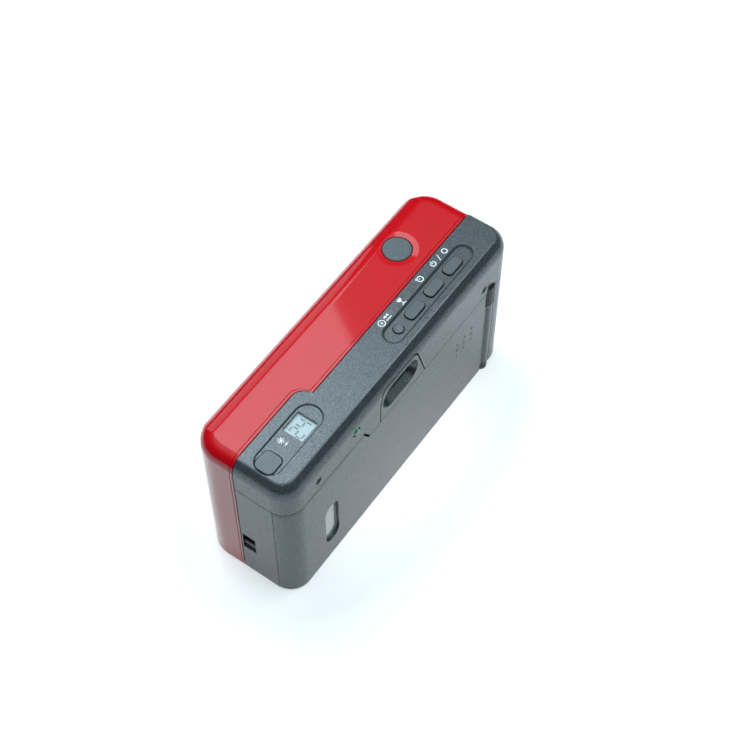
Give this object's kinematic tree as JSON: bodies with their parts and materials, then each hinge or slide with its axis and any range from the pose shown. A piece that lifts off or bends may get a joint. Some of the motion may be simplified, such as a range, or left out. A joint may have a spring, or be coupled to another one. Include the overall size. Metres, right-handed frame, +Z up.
{
  "type": "compact film camera",
  "caption": "Pocket camera for 35 mm film with a hinged film door, a lens that slides out behind cover blades, sprung keys on top and a window viewfinder.",
  "frame": {"origin": "centre of the bounding box, on the plane the base stands on", "axes": "+Z up, +X towards the end with the film cartridge and the frame counter, -Y the way the lens looks"},
  "size_m": [0.1174, 0.0384, 0.0615],
  "materials": {
    "red_gloss": "glossy",
    "charcoal_satin": "satin, fine flecks",
    "key_grey": "satin",
    "black_plastic": "matte",
    "bezel_black": "semi-gloss",
    "clear_window": "polished",
    "dark_window": "polished",
    "lens_glass": "coated",
    "display_grey": "satin",
    "green_lamp": "translucent",
    "red_lamp": "translucent",
    "steel": "brushed",
    "brass": "machined",
    "reflector": "polished",
    "circuit_board": "solder mask",
    "white_gear": "moulded",
    "battery_wrap": "printed sleeve",
    "foam": "open cell"
  },
  "bodies": {
    "camera_body": {"front_cover": "red_gloss", "front_fascia": "key_grey", "viewfinder_objective": "dark_window", "af_windows": "dark_window", "flash_window": "clear_window", "flash_reflector": "reflector", "flash_tube": "clear_window", "flash_capacitor": "black_plastic", "self_timer_lamp": "red_lamp", "light_sensor": "dark_window", "lens_bezel": "key_grey", "lens_guide_tube": "black_plastic", "top_cover": "charcoal_satin", "button_board": "circuit_board", "main_circuit_board": "circuit_board", "lcd_window": "clear_window", "lcd_module": "display_grey", "ready_lamp": "green_lamp", "eyepiece_frame": "charcoal_satin", "eyepiece_lens": "dark_window", "viewfinder_housing": "black_plastic", "main_chassis": "black_plastic", "side_cover_left": "charcoal_satin", "side_cover_right": "charcoal_satin", "bottom_cover": "black_plastic", "tripod_socket": "brass", "strap_bar": "steel", "hinge_knuckles": "black_plastic", "door_hinge_pin": "steel", "light_seal": "foam", "wind_motor": "steel", "battery": "battery_wrap", "battery_holder": "black_plastic", "battery_contacts": "steel", "battery_door_pin": "steel", "rear_screws": "steel", "base_screws": "steel"},
    "film_door": {"back_door": "charcoal_satin", "film_window_pane": "clear_window"},
    "pressure_plate": {"pressure_plate": "black_plastic"},
    "door_latch": {"door_latch": "black_plastic"},
    "shutter_button": {"shutter_button": "key_grey"},
    "power_button": {"power_button": "key_grey"},
    "timer_button": {"timer_button": "key_grey"},
    "macro_button": {"macro_button": "key_grey"},
    "rewind_button": {"rewind_button": "key_grey"},
    "flash_button": {"flash_button": "key_grey"},
    "lens_barrel": {"lens_barrel": "bezel_black", "shutter_unit": "black_plastic", "front_lens_element": "lens_glass", "rear_lens_element": "lens_glass"},
    "lens_cover_upper": {"lens_cover_upper": "bezel_black"},
    "lens_cover_lower": {"lens_cover_lower": "bezel_black"},
    "shutter_blade_left": {"shutter_blade_left": "black_plastic"},
    "shutter_blade_right": {"shutter_blade_right": "black_plastic"},
    "rewind_fork": {"rewind_fork": "white_gear"},
    "take_up_spool": {"take_up_spool": "white_gear"},
    "idler_gear": {"idler_gear": "white_gear"},
    "motor_pinion": {"motor_pinion": "brass"},
    "battery_door": {"battery_door": "black_plastic"}
  },
  "joints": [
    {"name": "film_door_hinge", "type": "hinge", "parent": "camera_body", "child": "film_door", "pos_m": [-0.0476, 0.0169, 0.02], "axis": [0, 0, 1], "range_deg": [0, 110]},
    {"name": "pressure_plate_travel", "type": "slide", "parent": "film_door", "child": "pressure_plate", "axis": [0, 1, 0], "range_m": [0, 0.0004], "stiffness_N_per_m": 400, "springref_m": -0.0004},
    {"name": "door_latch_slide", "type": "slide", "parent": "camera_body", "child": "door_latch", "axis": [0, 0, -1], "range_m": [0, 0.0018], "stiffness_N_per_m": 150, "springref_m": -0.002},
    {"name": "shutter_button_press", "type": "slide", "parent": "camera_body", "child": "shutter_button", "axis": [0, 0, -1], "range_m": [0, 0.0008], "stiffness_N_per_m": 600, "springref_m": -0.0004},
    {"name": "power_button_press", "type": "slide", "parent": "camera_body", "child": "power_button", "axis": [0, 0, -1], "range_m": [0, 0.0006], "stiffness_N_per_m": 600, "springref_m": -0.0004},
    {"name": "timer_button_press", "type": "slide", "parent": "camera_body", "child": "timer_button", "axis": [0, 0, -1], "range_m": [0, 0.0006], "stiffness_N_per_m": 600, "springref_m": -0.0004},
    {"name": "macro_button_press", "type": "slide", "parent": "camera_body", "child": "macro_button", "axis": [0, 0, -1], "range_m": [0, 0.0006], "stiffness_N_per_m": 600, "springref_m": -0.0004},
    {"name": "rewind_button_press", "type": "slide", "parent": "camera_body", "child": "rewind_button", "axis": [0, 0, -1], "range_m": [0, 0.0004], "stiffness_N_per_m": 600, "springref_m": -0.0004},
    {"name": "flash_button_press", "type": "slide", "parent": "camera_body", "child": "flash_button", "axis": [0, 0, -1], "range_m": [0, 0.0006], "stiffness_N_per_m": 600, "springref_m": -0.0004},
    {"name": "lens_extend", "type": "slide", "parent": "camera_body", "child": "lens_barrel", "axis": [0, -1, 0], "range_m": [0, 0.009]},
    {"name": "lens_cover_upper_slide", "type": "slide", "parent": "lens_barrel", "child": "lens_cover_upper", "axis": [0, 0, 1], "range_m": [0, 0.0066]},
    {"name": "lens_cover_lower_slide", "type": "slide", "parent": "lens_barrel", "child": "lens_cover_lower", "axis": [0, 0, -1], "range_m": [0, 0.0066]},
    {"name": "shutter_blade_left_slide", "type": "slide", "parent": "lens_barrel", "child": "shutter_blade_left", "axis": [1, 0, 0], "range_m": [0, 0.0062]},
    {"name": "shutter_blade_right_slide", "type": "slide", "parent": "lens_barrel", "child": "shutter_blade_right", "axis": [-1, 0, 0], "range_m": [0, 0.0062]},
    {"name": "rewind_fork_turn", "type": "hinge", "parent": "camera_body", "child": "rewind_fork", "pos_m": [0.04, 0.0036, 0.003], "axis": [0, 0, 1], "continuous": true},
    {"name": "take_up_turn", "type": "hinge", "parent": "camera_body", "child": "take_up_spool", "pos_m": [-0.03, 0.005, 0.02], "axis": [0, 0, 1], "continuous": true},
    {"name": "idler_turn", "type": "hinge", "parent": "camera_body", "child": "idler_gear", "pos_m": [-0.01931, -0.00403, 0.004], "axis": [0, 0, 1], "continuous": true},
    {"name": "motor_turn", "type": "hinge", "parent": "camera_body", "child": "motor_pinion", "pos_m": [-0.02, -0.011, 0.004], "axis": [0, 0, 1], "continuous": true},
    {"name": "battery_door_hinge", "type": "hinge", "parent": "camera_body", "child": "battery_door", "pos_m": [-0.047, 0.004, 0.0016], "axis": [1, 0, 0], "range_deg": [0, 90]}
  ],
  "couplings": [
    {"joint": "lens_cover_upper_slide", "follows": "lens_extend", "ratio": 0.72222},
    {"joint": "lens_cover_lower_slide", "follows": "lens_extend", "ratio": 0.72222},
    {"joint": "shutter_blade_right_slide", "follows": "shutter_blade_left_slide", "ratio": 1},
    {"joint": "idler_turn", "follows": "take_up_turn", "ratio": -2.5},
    {"joint": "motor_turn", "follows": "take_up_turn", "ratio": 3.3333}
  ]
}
